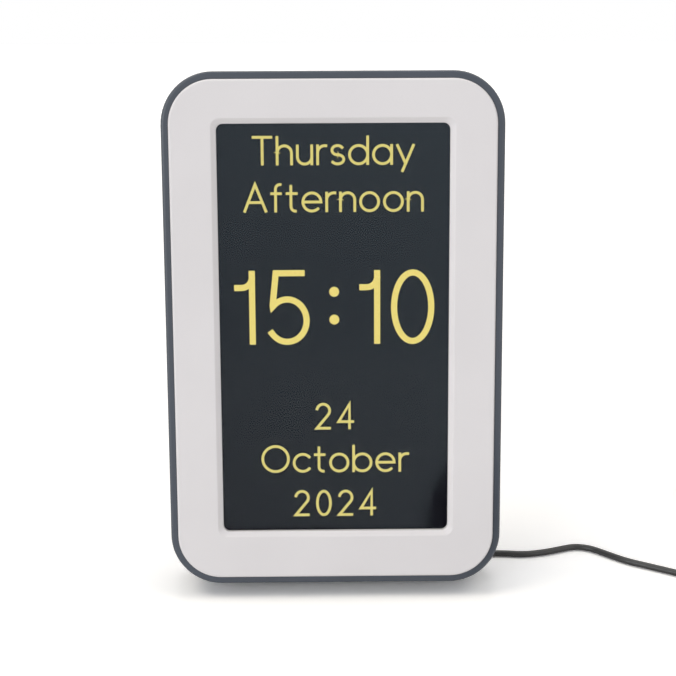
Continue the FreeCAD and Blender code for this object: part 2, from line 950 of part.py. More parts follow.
# ---------------------------------------------------------------- stand
def stand_profile():
    """The knuckle's section on the table: barrel, front stop face and foot, as (depth, height)."""
    stop_y = pocket_front + stop_gap
    foot_z = (pad_proud - front_height + stop_y * math.sin(lean)) / math.cos(lean)
    top = to_table(stop_y, hinge_height)
    foot = to_table(stop_y, foot_z)
    back = hinge_depth + barrel_radius
    return [top, foot, (back, pad_proud), (back, hinge_up)]


def stand_pad_places():
    near = hinge_depth + barrel_radius + pad_radius
    far = hinge_depth + stand_reach - pad_inset
    half = stand_width / 2 - pad_inset
    return [(side * half, depth) for side in (-1, 1) for depth in (near, far)]


def stand_plate():
    """The fold-out plate, drawn open on the table before the last shift."""
    points = stand_profile()
    front = points[1][0]
    end = hinge_depth + stand_reach
    half = stand_width / 2
    low = pad_proud
    high = pad_proud + stand_thickness
    plate = block(-half, half, front, end, low, high)
    free_corners = [
        edge
        for edge in plate.Edges
        if abs(edge.BoundBox.YMin - end) < 1e-6 and edge.BoundBox.ZLength > stand_thickness / 2
    ]
    plate = plate.makeFillet(stand_corner, free_corners)
    rim = [edge for edge in plate.Edges if edge.BoundBox.ZLength < 1e-6 and edge.BoundBox.YMax > end - 0.1]
    plate = plate.makeFillet(stand_edge_round, rim)
    for side in (-1, 1):
        inner = side * (half - knuckle_length)
        outer = side * half
        x0 = min(inner, outer)
        x1 = max(inner, outer)
        knuckle = profile_across(points, x0, x1)
        knuckle = knuckle.fuse(cross_rod(barrel_radius, x0, x1, hinge_depth, hinge_up))
        plate = plate.fuse(knuckle)
    over_barrel = hinge_up + barrel_radius
    stop_face = profile_across(
        [
            (front - stand_thickness, low - stand_thickness),
            points[1],
            points[0],
            (points[0][0], over_barrel),
            (front - stand_thickness, over_barrel),
        ],
        -half,
        half,
    )
    plate = plate.cut(stop_face)
    bore = pin_radius + pin_fit
    plate = plate.cut(cross_rod(bore, -half - 1, half + 1, hinge_depth, hinge_up))
    for x, depth in stand_pad_places():
        seat = Part.makeCylinder(pad_radius + pad_fit, pad_sunk, V(x, depth, low), Z_AXIS)
        plate = plate.cut(seat)
    groove = slab(grip_length, grip_width, round_end(grip_width), 0, grip_depth)
    groove.rotate(V(0, 0, 0), X_AXIS, 90)
    for row in range(grip_rows):
        cut = groove.copy()
        cut.translate(V(0, end - grip_from_end - grip_pitch * row, high))
        plate = plate.cut(cut)
    return plate.removeSplitter()


def stand_pads():
    pads = []
    for x, depth in stand_pad_places():
        pad = Part.makeCylinder(pad_radius, pad_proud + pad_sunk, V(x, depth, 0), Z_AXIS)
        sole = [edge for edge in pad.Edges if edge.BoundBox.ZMax < 1e-6]
        pads.append(pad.makeChamfer(pad_chamfer, sole))
    return Part.makeCompound(pads)


def stand_hinge_pin():
    half = pin_half - pin_end_gap
    pin = cross_rod(pin_radius, -half, half, hinge_y, hinge_height)
    return pin.makeChamfer(pin_chamfer, [edge for edge in pin.Edges if edge.BoundBox.XLength < 1e-6])


def front_feet():
    """Two rubber feet under the housing, moulded to stand flat when the clock leans back."""
    reach = 2 * body_depth
    below_table = block(-body_width, body_width, -reach, reach, -reach, 0)
    feet = []
    for side in (-1, 1):
        foot = lean_back(foot_seat(side, -2 * front_height, foot_sunk, 0))
        feet.append(foot.cut(below_table))
    return Part.makeCompound(feet)


# ---------------------------------------------------------------- plug, lead and adapter
def tube(points, radius):
    """A round tube along straight runs that are joined by tangent arcs."""
    edges = []
    start = points[0]
    for index in range(1, len(points) - 1):
        corner = points[index]
        before = corner - points[index - 1]
        after = points[index + 1] - corner
        run = min(before.Length, after.Length)
        turn = before.getAngle(after)
        setback = bend_share * run
        bend = setback / math.tan(turn / 2)
        before.normalize()
        after.normalize()
        first = corner - before * setback
        last = corner + after * setback
        inward = after - before
        inward.normalize()
        centre = corner + inward * (bend / math.cos(turn / 2))
        middle = centre - inward * bend
        edges.append(Part.LineSegment(start, first).toShape())
        edges.append(Part.Arc(first, middle, last).toShape())
        start = last
    edges.append(Part.LineSegment(start, points[-1]).toShape())
    path = Part.Wire(edges)
    direction = points[1] - points[0]
    section = Part.Wire([Part.makeCircle(radius, points[0], direction)])
    return path.makePipeShell([section], True, False)


def bend_radii(points):
    """The radius of the arc at each inner point of a route."""
    radii = []
    for index in range(1, len(points) - 1):
        before = points[index] - points[index - 1]
        after = points[index + 1] - points[index]
        run = min(before.Length, after.Length)
        radii.append(bend_share * run / math.tan(before.getAngle(after) / 2))
    return radii


def plug_sleeve():
    """The plated contact tube that goes into the jack."""
    tip = socket_front + plug_sleeve_end_gap
    sleeve = rod(plug_sleeve_radius, tip, plug_face, jack_x, jack_height)
    return sleeve.cut(rod(plug_sleeve_bore, tip, plug_face - plug_sleeve_floor, jack_x, jack_height))


def power_plug():
    """The right-angled plug moulding: round head, downward neck and tapered strain relief."""
    head_back = plug_face + plug_head_depth
    head = rod(plug_head_radius, plug_face, head_back, jack_x, jack_height)
    head = head.makeFillet(plug_head_round, edges_at_depth(head, head_back))
    neck_foot = V(jack_x, plug_centre_y, plug_neck_end)
    neck = Part.makeCylinder(plug_neck_radius, plug_neck_length, neck_foot, Z_AXIS)
    relief_tip = V(jack_x, plug_centre_y, cord_exit_z)
    relief = Part.makeCone(cord_radius + relief_wall, relief_radius, relief_length, relief_tip, Z_AXIS)
    plug = head.fuse(neck).fuse(relief)
    for ring in range(relief_grooves):
        z = plug_neck_end - relief_groove_start - relief_groove_pitch * ring
        foot = V(jack_x, plug_centre_y, z)
        outer = Part.makeCylinder(2 * relief_radius, relief_groove_width, foot, Z_AXIS)
        inner = Part.makeCylinder(cord_radius + relief_core, relief_groove_width, foot, Z_AXIS)
        plug = plug.cut(outer.cut(inner))
    return plug.removeSplitter()


def cord_exit():
    """Where the lead leaves the plug, on the table, before the last shift."""
    depth, height = to_table(plug_centre_y, cord_exit_z)
    return V(jack_x, depth, height)


def cord_route():
    """From the plug down to the table, out past the clock's right side and round to the coil's front."""
    drop = [
        (42.1, 34.1, 16.0),
        (44.2, 33.6, 7.4),
        (50.6, 33.5, 2.2),
        (60.0, 33.4, 1.4),
    ]
    table = [
        (69.5, 33.3),
        (78.5, 32.0),
        (86.8, 33.7),
        (94.4, 36.6),
        (100.6, 39.0),
        (106.9, 37.4),
        (112.6, 31.8),
        (119.4, 25.2),
        (128.0, 20.2),
        (137.3, 14.4),
        (146.2, 9.3),
        (153.6, 6.3),
    ]
    route = [cord_exit()]
    route += [V(*point) for point in drop]
    route += [V(x, y, cord_rest) for x, y in table]
    route.append(V(coil_x - coil_reach, coil_y - outer_turn, coil_low_turn))
    return route


def power_cord():
    return tube(cord_route(), cord_radius)


def tail_route():
    """The last stretch, from the top of the coil to the adapter, with a little sag."""
    x = adapter_x
    tip = adapter_y - adapter_relief_length
    return [
        V(x, coil_y + coil_reach, coil_top_turn),
        V(x + 0.1, 40.0, 7.5),
        V(x - 0.1, 46.0, 7.4),
        V(x, tip, adapter_cord_height),
    ]


def power_cord_tail():
    return tube(tail_route(), cord_radius)


def chamfered_outline(width, height, cut, z):
    """The section of the coil or its strap: a rectangle with its corners cut off."""
    half_w = width / 2
    half_h = height / 2
    corners = [
        (half_w - cut, half_h),
        (half_w, half_h - cut),
        (half_w, cut - half_h),
        (half_w - cut, -half_h),
        (cut - half_w, -half_h),
        (-half_w, cut - half_h),
        (-half_w, half_h - cut),
        (cut - half_w, half_h),
    ]
    points = [V(coil_mean_radius + x, 0, z + up) for x, up in corners]
    return Part.makePolygon(points + points[:1])


def cord_coil():
    section = chamfered_outline(coil_width, coil_height, coil_chamfer, coil_height / 2)
    ring = Part.Face(section).revolve(V(0, 0, 0), Z_AXIS, 360)
    ring.translate(V(coil_x, coil_y, coil_lift))
    return ring


def cord_tie():
    """The strap round the bundle of turns, on the side towards the clock."""
    width = coil_width + 2 * tie_fit
    height = coil_height + 2 * tie_fit
    wall = 2 * tie_thickness
    z = tie_thickness + height / 2
    outside = chamfered_outline(width + wall, height + wall, tie_chamfer, z)
    inside = chamfered_outline(width, height, coil_chamfer, z)
    arc = math.degrees(tie_width / coil_mean_radius)
    section = Part.Face(outside).cut(Part.Face(inside))
    band = section.Faces[0].revolve(V(0, 0, 0), Z_AXIS, arc)
    band.rotate(V(0, 0, 0), Z_AXIS, 180 - arc / 2)
    band.translate(V(coil_x, coil_y, 0))
    return band


def power_adapter():
    """The mains adapter lying on its back: a rounded body, a raised base for the pins and a relief."""
    left = adapter_x - adapter_width / 2
    right = adapter_x + adapter_width / 2
    body = block(left, right, adapter_y, adapter_y + adapter_length, 0, adapter_height)
    body = body.makeFillet(adapter_round, body.Edges)
    base = slab(pin_base_width, pin_base_depth, round_end(pin_base_depth), 0, pin_base_height)
    base.rotate(V(0, 0, 0), X_AXIS, 90)
    base.translate(V(adapter_x, adapter_pin_y, adapter_height))
    relief = Part.makeCone(
        cord_radius + relief_wall,
        adapter_relief_radius,
        adapter_relief_length + adapter_round,
        V(adapter_x, adapter_y - adapter_relief_length, adapter_cord_height),
        Y_AXIS,
    )
    return body.fuse(base).fuse(relief).removeSplitter()


def adapter_pins():
    pins = []
    foot = adapter_height + pin_base_height
    for side in (-1, 1):
        x = adapter_x + side * mains_pin_spacing / 2
        pin = Part.makeCylinder(mains_pin_radius, mains_pin_length, V(x, adapter_pin_y, foot), Z_AXIS)
        tip = [edge for edge in pin.Edges if edge.BoundBox.ZMin > foot + mains_pin_length - 1e-6]
        pins.append(pin.makeChamfer(mains_pin_chamfer, tip))
    return Part.makeCompound(pins)


# ---------------------------------------------------------------- the whole clock
upright_pieces = {
    "front_bezel": front_bezel,
    "display_lens": display_lens,
    "lcd_panel": lcd_panel,
    "lcd_backlight": lcd_backlight,
    "lcd_clamps": lcd_clamps,
    "clamp_screws": clamp_screws,
    "lcd_ribbon": lcd_ribbon,
    "rear_housing": rear_housing,
    "housing_screws": housing_screws,
    "main_board": main_board,
    "key_board": key_board,
    "key_board_lead": key_board_lead,
    "board_screws": board_screws,
    "board_components": board_components,
    "button_switches": button_switches,
    "power_jack": power_jack,
    "cell_holder": cell_holder,
    "backup_cell": backup_cell,
    "speaker": speaker,
    "speaker_gasket": speaker_gasket,
    "speaker_leads": speaker_leads,
    "stand_hinge_pin": stand_hinge_pin,
}
table_pieces = {
    "front_feet": front_feet,
    "stand_plate": stand_plate,
    "stand_pads": stand_pads,
}
plug_pieces = {
    "plug_sleeve": plug_sleeve,
    "power_plug": power_plug,
}
lead_pieces = {
    "power_cord": power_cord,
    "cord_coil": cord_coil,
    "cord_tie": cord_tie,
    "power_cord_tail": power_cord_tail,
    "power_adapter": power_adapter,
    "adapter_pins": adapter_pins,
}


def build():
    clock = {name: lean_back(make()) for name, make in upright_pieces.items()}
    for name in button_places:
        clock["button_" + name] = lean_back(button(name))
    for name, make in table_pieces.items():
        clock[name] = make()
    extents = [shape.optimalBoundingBox() for shape in clock.values()]
    front = min(box.YMin for box in extents)
    back = max(box.YMax for box in extents)
    shift = -(front + back) / 2
    for name, make in plug_pieces.items():
        clock[name] = lean_back(make())
    for name, make in lead_pieces.items():
        clock[name] = make()
    for shape in clock.values():
        shape.translate(V(0, shift, 0))
    return clock, shift


def main():
    os.makedirs("parts", exist_ok=True)
    clock, shift = build()
    for name, shape in clock.items():
        shape.exportStep(f"parts/{name}.step")
        flaw = "" if shape.isValid() else "  NOT VALID"
        print(f"{name:18s} solids {len(shape.Solids)} volume {shape.Volume:10.1f}{flaw}")
    sole_z = (foot_centre * math.sin(lean) - front_height) / math.cos(lean)
    sole_depth = to_table(foot_centre, sole_z)[0]
    print(f"shift {shift:.4f} hinge depth {hinge_depth + shift:.4f} height {hinge_up:.4f}")
    print(f"foot x {foot_x:.4f} depth {sole_depth + shift:.4f}")
    for name, route in {"power_cord": cord_route(), "power_cord_tail": tail_route()}.items():
        section = math.pi * cord_radius**2
        print(name, "length", round(clock[name].Volume / section, 1))
        print("  radii", [round(radius, 1) for radius in bend_radii(route)])
        print("  runs", [round((b - a).Length, 1) for a, b in zip(route, route[1:])])


main()
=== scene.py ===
import math

import bmesh
import bpy
from mathutils import Matrix, Vector


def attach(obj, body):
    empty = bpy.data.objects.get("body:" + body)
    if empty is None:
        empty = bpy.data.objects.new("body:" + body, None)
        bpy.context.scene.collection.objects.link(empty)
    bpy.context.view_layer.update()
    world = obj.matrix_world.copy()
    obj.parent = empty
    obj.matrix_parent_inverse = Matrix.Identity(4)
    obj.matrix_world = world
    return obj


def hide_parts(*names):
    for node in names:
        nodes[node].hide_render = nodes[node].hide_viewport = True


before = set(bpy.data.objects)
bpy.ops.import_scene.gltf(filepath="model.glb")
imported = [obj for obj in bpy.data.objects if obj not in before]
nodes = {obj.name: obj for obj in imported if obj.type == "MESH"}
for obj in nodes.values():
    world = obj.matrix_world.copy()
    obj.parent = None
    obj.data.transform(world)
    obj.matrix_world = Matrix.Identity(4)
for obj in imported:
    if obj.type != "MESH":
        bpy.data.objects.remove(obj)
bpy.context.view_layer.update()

MM = 0.001
square = ((-1, -1), (1, -1), (1, 1), (-1, 1))


# ---------------------------------------------------------------- sizes, in millimetres
# The upright clock: x to the right, y from the bezel's face to the back, z up from the housing's
# underside. It leans back, stands on its feet and is shifted to the middle of its footprint.
lean = math.radians(8.0)
front_height = 5.5
footprint_shift = -38.3318
window_centre = 98.4
lens_back = 3.9
panel_front = 4.2
body_depth = 27.4
key_proud = 0.9
key_centre = 139.8
key_pitch = 13.0
case_screw_x = 53.5
case_screw_pitch = 79.55
body_middle = 97.35
screw_head_back = 25.4
recess_proud = 0.02
recess_seed = 4

# the symbols on the keys: their foot and their top lie this far below a key's top edge
symbol_foot = 0.36
symbol_top = 0.12
symbol_edge = 0.06
bar_half = (1.5, 0.22)
bar_spacing = 1.1

# the lit characters
small_cap = 10.9
digit_cap = 10.4
small_stroke = 1.03
letter_gap = 0.22
digit_gap = 0.37
time_cap = 28.4
time_stroke = 2.32
time_gap = 0.245
time_dot = 3.75
time_group_gap = 9.3
time_dot_heights = (14.9, 4.35)
line_heights = {
    "weekday": 62.05,
    "daypart": 44.7,
    "time": -5.2,
    "date": -38.1,
    "month": -55.0,
    "year": -72.3,
}

# The lead and its coil. A full row of the coil is four turns wide, and the next row is the three turns
# that lie in its hollows. The coil starts at its front, and a turn steps over at the strap.
cord_radius = 1.3
cord_width = 2 * cord_radius
coil_centre = (170.0, 24.0)
coil_inner_turn = 10.7
coil_row_turns = 4
coil_rows = 4
coil_turns = 14.25
coil_low_turn = 2.0
coil_start = math.radians(-90)
coil_strap_turn = 0.75
coil_step_span = 0.16
coil_points_per_turn = 12
coil_row_rise = cord_width * math.sin(math.radians(60))
coil_columns = [coil_inner_turn + cord_width * place for place in range(coil_row_turns)]
coil_hollows = [radius + cord_radius for radius in coil_columns[:-1]]

# the mains pins, and the radii and heights of the sleeves on them
pin_x = 188.5
pin_y = 88.0
pin_spacing = 18.6
sleeve_bore = 1.9
sleeve_outside = 2.12
sleeve_foot = 28.0
sleeve_tip = 38.0
sleeve_taper = 0.5
sleeve_edge = 0.1
sleeve_facets = 32

# the dark thing in front of the clock, in metres: how far in front it stands, the middle and the half
# sizes of its outline, and how far its right half is drawn out
dark_thing_depth = -0.12
dark_thing_middle = (0.058, 0.013)
dark_thing_half = (0.0148, 0.0275)
dark_thing_reach = 0.06
dark_thing_corners = 64


def on_table(x, y, z):
    """A point near the standing clock, with y from its front lower edge, in metres in the part's frame."""
    return Vector((x, y + footprint_shift, z)) * MM


def in_scene(name, data):
    """A new object in the scene."""
    thing = bpy.data.objects.new(name, data)
    bpy.context.scene.collection.objects.link(thing)
    return thing


# ---------------------------------------------------------------- camera, floor and light
image_size = 676
camera_focal_pixels = 1165.0
camera_sensor_mm = 36.0
camera_place = Vector((-0.00237, -0.44531, 0.22248))
camera_turn = math.radians(-0.503)
camera_down = math.radians(16.1412)
camera_roll = math.radians(-0.2514)
nearest_seen = 0.01
furthest_seen = 50

# Linear colours of the studio and the table: as they light the clock, and as they are seen. The table
# is seen brighter than white so that its shaded surface meets the white studio.
studio_light = (0.405, 0.42, 0.45, 1)
studio_seen = (1, 1, 1, 1)
table_light = (0.58, 0.575, 0.565, 1)
table_seen = (1.24, 1.21, 1.175, 1)
table_half = 6.0

# each lamp's strength and colour, and in degrees its apparent width, its height above the horizon and
# how far it stands to the left of the clock's front
lamps = {
    "high_back": (0.49, "#FFFFFF", 25, 75, 180),
    "high_left": (0.79, "#FFFBF0", 30, 62, 90),
    "high_right": (0.37, "#FFFBF0", 30, 62, -90),
    "low_left": (1.40, "#F8FBFF", 36, 14, 40),
    "low_right": (0.40, "#FFFFFF", 36, 14, -40),
}


def make_camera():
    """It stands in front of the clock, higher than the clock's top, and looks down at it."""
    data = bpy.data.cameras.new("camera")
    data.sensor_width = camera_sensor_mm
    data.lens = camera_focal_pixels / image_size * camera_sensor_mm
    data.clip_start = nearest_seen
    data.clip_end = furthest_seen
    camera = in_scene("camera", data)
    forward = Vector(
        (
            -math.sin(camera_turn) * math.cos(camera_down),
            math.cos(camera_turn) * math.cos(camera_down),
            -math.sin(camera_down),
        )
    )
    level = Vector((math.cos(camera_turn), math.sin(camera_turn), 0))
    upward = level.cross(forward)
    right = level * math.cos(camera_roll) + upward * math.sin(camera_roll)
    up = upward * math.cos(camera_roll) - level * math.sin(camera_roll)
    turn = Matrix((right, up, -forward)).transposed()
    camera.matrix_world = Matrix.Translation(camera_place) @ turn.to_4x4()
    bpy.context.scene.camera = camera


def linear(hexcode):
    """A linear colour from an sRGB hex value."""
    channels = [int(hexcode[i : i + 2], 16) / 255 for i in (1, 3, 5)]
    lit = [c / 12.92 if c <= 0.04045 else ((c + 0.055) / 1.055) ** 2.4 for c in channels]
    return (*lit, 1.0)


def add(tree, kind, inputs=None, **settings):
    """Adds a node, gives it its settings, and sets or links its inputs."""
    node = tree.nodes.new(kind)
    for name, value in settings.items():
        setattr(node, name, value)
    for name, value in (inputs or {}).items():
        socket = node.inputs[name]
        if isinstance(value, bpy.types.NodeSocket):
            tree.links.new(value, socket)
        else:
            socket.default_value = value
    return node


def empty_tree(owner):
    """The node tree of a new material or world, without the nodes that it starts with."""
    owner.use_nodes = True
    owner.node_tree.nodes.clear()
    return owner.node_tree


def seen_directly(tree):
    """1 for rays from the camera and for those in a reflection or through glass."""
    path = add(tree, "ShaderNodeLightPath")
    seen = path.outputs["Is Camera Ray"]
    for kind in ("Is Glossy Ray", "Is Transmission Ray"):
        either = {0: seen, 1: path.outputs[kind]}
        seen = add(tree, "ShaderNodeMath", either, operation="MAXIMUM").outputs[0]
    return seen


def light_or_seen(tree, light, seen):
    """One colour where it lights the clock, and another where it is seen."""
    either = {"Factor": seen_directly(tree), "A": light, "B": seen}
    return add(tree, "ShaderNodeMix", either, data_type="RGBA").outputs["Result"]


def make_world():
    """An even white studio: white where it is seen, softer and a little bluer where it lights."""
    world = bpy.data.worlds.new("white_studio")
    tree = empty_tree(world)
    colour = light_or_seen(tree, studio_light, studio_seen)
    sky = add(tree, "ShaderNodeBackground", {"Color": colour})
    add(tree, "ShaderNodeOutputWorld", {"Surface": sky.outputs[0]})
    bpy.context.scene.world = world


def make_lamp(name, strength, colour, width, height, left):
    """A broad lamp far away, as the list of lamps gives it."""
    data = bpy.data.lights.new(name, "SUN")
    data.energy = strength
    data.color = linear(colour)[:3]
    data.angle = math.radians(width)
    height = math.radians(height)
    left = math.radians(left)
    towards = Vector(
        (-math.sin(left) * math.cos(height), -math.cos(left) * math.cos(height), math.sin(height))
    )
    in_scene(name, data).matrix_world = towards.to_track_quat("Z", "Y").to_matrix().to_4x4()


def make_floor():
    """A pale table."""
    material = bpy.data.materials.new("table_laminate")
    tree = empty_tree(material)
    colour = light_or_seen(tree, table_light, table_seen)
    diffuse = add(tree, "ShaderNodeBsdfDiffuse", {"Color": colour})
    add(tree, "ShaderNodeOutputMaterial", {"Surface": diffuse.outputs[0]})
    mesh = bpy.data.meshes.new("floor")
    corners = [(x * table_half, y * table_half, 0) for x, y in square]
    mesh.from_pydata(corners, [], [(0, 1, 2, 3)])
    mesh.materials.append(material)
    floor = in_scene("floor", mesh)


# ---------------------------------------------------------------- the lead
# The route's points in millimetres, with y from the clock's front lower edge and z from the table. It
# leaves the plug, comes down to the table behind the clock, swings out past the clock's right side and
# goes round to the coil.
lead_drop = [
    (42.0, 35.923, 29.736),
    (42.1, 34.1, 16.0),
    (44.2, 33.6, 7.4),
    (50.6, 33.5, 2.2),
    (60.0, 33.4, 1.4),
]
lead_on_table = [
    (69.5, 33.3),
    (78.5, 32.0),
    (86.8, 33.7),
    (94.4, 36.6),
    (100.6, 39.0),
    (106.9, 37.4),
    (112.6, 31.8),
    (119.4, 25.2),
    (128.0, 20.2),
    (137.3, 14.4),
    (146.2, 9.3),
    (153.6, 6.3),
]
lead_rest = 1.35
lead_to_coil = (160.19, 5.5, coil_low_turn)
lead_tail = [
    (188.5, 33.8, 8.755),
    (188.6, 40.0, 7.5),
    (188.4, 46.0, 7.4),
    (188.5, 52.0, 8.5),
]
lead_round_steps = 3
lead_run_steps = 5


def coil_points():
    """The turns of the spare lead, row on row. Each row lies in the hollows of the one below, and a
    turn steps over to the next place at the strap."""
    places = []
    for row in range(coil_rows):
        radii = reversed(coil_columns) if row % 2 == 0 else coil_hollows
        places += [(radius, coil_low_turn + row * coil_row_rise) for radius in radii]
    last = len(places) - 1
    # the control points stand this much further out than the turn itself
    spread = 1 / math.cos(math.pi / coil_points_per_turn)
    points = []
    for index in range(1, int(coil_turns * coil_points_per_turn)):
        turns = index / coil_points_per_turn
        along = turns - coil_strap_turn
        lower = math.floor(along + 0.5)
        blend = min(max((along - lower) / coil_step_span + 0.5, 0.0), 1.0)
        first = places[min(max(lower, 0), last)]
        second = places[min(max(lower + 1, 0), last)]
        radius = first[0] + (second[0] - first[0]) * blend
        height = first[1] + (second[1] - first[1]) * blend
        angle = coil_start + turns * math.tau
        x = coil_centre[0] + radius * spread * math.cos(angle)
        y = coil_centre[1] + radius * spread * math.sin(angle)
        points.append((x, y, height))
    return points


def make_lead():
    """One smooth curve from the plug to the adapter, with the coil's turns drawn one by one."""
    points = lead_drop + [(x, y, lead_rest) for x, y in lead_on_table]
    points += [lead_to_coil] + coil_points() + lead_tail
    curve = bpy.data.curves.new("power_lead", "CURVE")
    curve.dimensions = "3D"
    curve.bevel_depth = cord_radius * MM
    curve.bevel_resolution = lead_round_steps
    curve.use_fill_caps = True
    spline = curve.splines.new("NURBS")
    spline.points.add(len(points) - 1)
    for point, place in zip(spline.points, points):
        point.co = (*on_table(*place), 1.0)
    spline.order_u = 3
    spline.use_endpoint_u = True
    spline.resolution_u = lead_run_steps
    curve.materials.append(lead_pvc)
    lead = in_scene("power_lead", curve)
    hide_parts("power_cord", "cord_coil", "power_cord_tail")
    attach(lead, "clock_body")


# ---------------------------------------------------------------- materials
def surface(name, uniform=None):
    """A new material with a Principled shader, whose uniform values are given, and the piece's own
    coordinates in metres."""
    material = bpy.data.materials.new(name)
    tree = empty_tree(material)
    shader = add(tree, "ShaderNodeBsdfPrincipled", uniform)
    add(tree, "ShaderNodeOutputMaterial", {"Surface": shader.outputs[0]})
    place = add(tree, "ShaderNodeTexCoord").outputs["Object"]
    return material, tree, shader, place


def spaced(size_mm):
    """The scale of a noise or of cells about size_mm apart."""
    return 1 / (size_mm * MM)


def ribbed(size_mm):
    """The scale of waves size_mm apart. At a scale of 1, a wave's phase is 20 times its place."""
    return math.tau / (20 * size_mm * MM)


def paint(tree, socket, pattern, colour, shade):
    """Colours a socket of the shader: colour where the pattern is 0, and shade where it is 1."""
    blend = {"Factor": pattern, "A": linear(colour), "B": linear(shade)}
    tree.links.new(add(tree, "ShaderNodeMix", blend, data_type="RGBA").outputs["Result"], socket)


def patches(tree, place, size_mm, detail=2.0, full=0.65):
    """Soft-edged patches about size_mm apart: 0 between them, 1 where the noise is above full."""
    clouds = add(tree, "ShaderNodeTexNoise", {"Vector": place, "Scale": spaced(size_mm), "Detail": detail})
    edge = {"Value": clouds.outputs[0], "From Min": 0.35, "From Max": full}
    return add(tree, "ShaderNodeMapRange", edge).outputs[0]


def vary_gloss(tree, shader, pattern, low, high):
    """The pattern, most of which lies between 0.3 and 0.7, takes the roughness from low to high."""
    span = {"Value": pattern, "From Min": 0.3, "From Max": 0.7, "To Min": low, "To Max": high}
    tree.links.new(add(tree, "ShaderNodeMapRange", span).outputs[0], shader.inputs["Roughness"])


def haze(tree, shader, place, size_mm, low, high):
    """A smooth surface that is duller and glossier by turns, over about size_mm."""
    clouds = add(tree, "ShaderNodeTexNoise", {"Vector": place, "Scale": spaced(size_mm)})
    vary_gloss(tree, shader, clouds.outputs[0], low, high)


def roughen(tree, shader, grain, depth_mm, strength, low, high):
    """The same grain stands up in the surface and varies its gloss."""
    vary_gloss(tree, shader, grain, low, high)
    relief = {"Height": grain, "Distance": depth_mm * MM, "Strength": strength}
    tree.links.new(add(tree, "ShaderNodeBump", relief).outputs[0], shader.inputs["Normal"])


def moulded_abs(name, colour, shade, grain_mm, depth_mm, roughness):
    """Injection-moulded ABS from a spark-eroded mould: an even colour with a very fine, soft grain,
    which keeps reflections blurred, and a trace of unevenness from one place to the next. The real
    grain is about 0.1 mm, too fine to show, so it is drawn coarser."""
    material, tree, shader, place = surface(name, {"IOR": 1.5})
    paint(tree, shader.inputs["Base Color"], patches(tree, place, 45.0), colour, shade)
    grain = add(tree, "ShaderNodeTexNoise", {"Vector": place, "Scale": spaced(grain_mm), "Detail": 3.0})
    roughen(tree, shader, grain.outputs[0], depth_mm, 0.5, roughness - 0.06, roughness + 0.06)
    return material


def coated_glass():
    """Clear cover glass, coated against reflections: a weak, slightly blue, softened image of the
    room lies over the black display. The low index stands for the coating."""
    clear = {
        "Base Color": (1, 1, 1, 1),
        "Transmission Weight": 1.0,
        "IOR": 1.25,
        "Specular Tint": linear("#DDF2FF"),
    }
    material, tree, shader, place = surface("coated_cover_glass", clear)
    haze(tree, shader, place, 60.0, 0.09, 0.11)
    return material


def display_black():
    """The dark parts of a lit liquid crystal display: nearly black, with a trace of its backlight and a
    painted reflection of the room, which together grow brighter towards the upper right, and a faint
    unevenness of its picture elements. The real ones are 0.15 mm apart, too fine to show, so here and in the
    figures they are drawn coarser."""
    dark = {"Emission Strength": 1.0, "Specular IOR Level": 0.0, "Roughness": 0.6}
    material, tree, shader, place = surface("lcd_black", dark)
    upper_right = {0: place, 1: (0.5, 0.0, 1.0)}
    rise = add(tree, "ShaderNodeVectorMath", upper_right, operation="DOT_PRODUCT").outputs["Value"]
    # painted reflection: the emission brightens towards the upper right in place of the room mirrored in the
    # glass
    backlight_and_painted_reflection = add(tree, "ShaderNodeMapRange", {"Value": rise, "From Min": 0.01, "From Max": 0.2})
    paint(tree, shader.inputs["Emission Color"], backlight_and_painted_reflection.outputs[0], "#050106", "#1F2328")
    elements = add(tree, "ShaderNodeTexNoise", {"Vector": place, "Scale": spaced(0.45), "Detail": 0.0})
    paint(tree, shader.inputs["Base Color"], elements.outputs[0], "#060708", "#0A0B0D")
    return material


def lit_figures(name, colour, shade):
    """Lit picture elements seen through their yellow filters: flat light of one colour, a little
    uneven from element to element."""
    glowing = {"Emission Strength": 0.96, "Base Color": (0, 0, 0, 1), "Specular IOR Level": 0.0}
    material, tree, shader, place = surface(name, glowing)
    paint(tree, shader.inputs["Emission Color"], patches(tree, place, 0.5, 0.0), colour, shade)
    return material


def plated_metal(name, colour, shade, low, high):
    """Steel or brass under a thin plating: bright, with fine tumbling marks that blur it unevenly."""
    material, tree, shader, place = surface(name, {"Metallic": 1.0})
    paint(tree, shader.inputs["Base Color"], patches(tree, place, 4.0), colour, shade)
    marks = add(tree, "ShaderNodeTexNoise", {"Vector": place, "Scale": spaced(0.6), "Detail": 4.0})
    roughen(tree, shader, marks.outputs[0], 0.01, 0.3, low, high)
    return material


def soft_rubber(name, colour, shade, grain_mm, roughness):
    """Moulded rubber or soft PVC: dark and dull, with a dusty bloom in patches."""
    material, tree, shader, place = surface(name, {"IOR": 1.52})
    paint(tree, shader.inputs["Base Color"], patches(tree, place, 9.0, 3.0, 0.7), colour, shade)
    grain = add(tree, "ShaderNodeTexNoise", {"Vector": place, "Scale": spaced(grain_mm)})
    roughen(tree, shader, grain.outputs[0], 0.03, 0.4, roughness - 0.08, roughness + 0.08)
    return material


def solder_mask():
    """Green solder mask over copper tracks: glossy, and lighter where the copper lies under it."""
    material, tree, shader, place = surface("solder_mask_green")
    layout = {
        "Vector": place,
        "Scale": 1.0,
        "Mortar Size": 0.3 * MM,
        "Brick Width": 9.0 * MM,
        "Row Height": 2.2 * MM,
        "Color1": linear("#1E6B3A"),
        "Color2": linear("#1A5C33"),
        "Mortar": linear("#2E8B50"),
    }
    tracks = add(tree, "ShaderNodeTexBrick", layout)
    tree.links.new(tracks.outputs["Color"], shader.inputs["Base Color"])
    haze(tree, shader, place, 3.0, 0.25, 0.35)
    return material


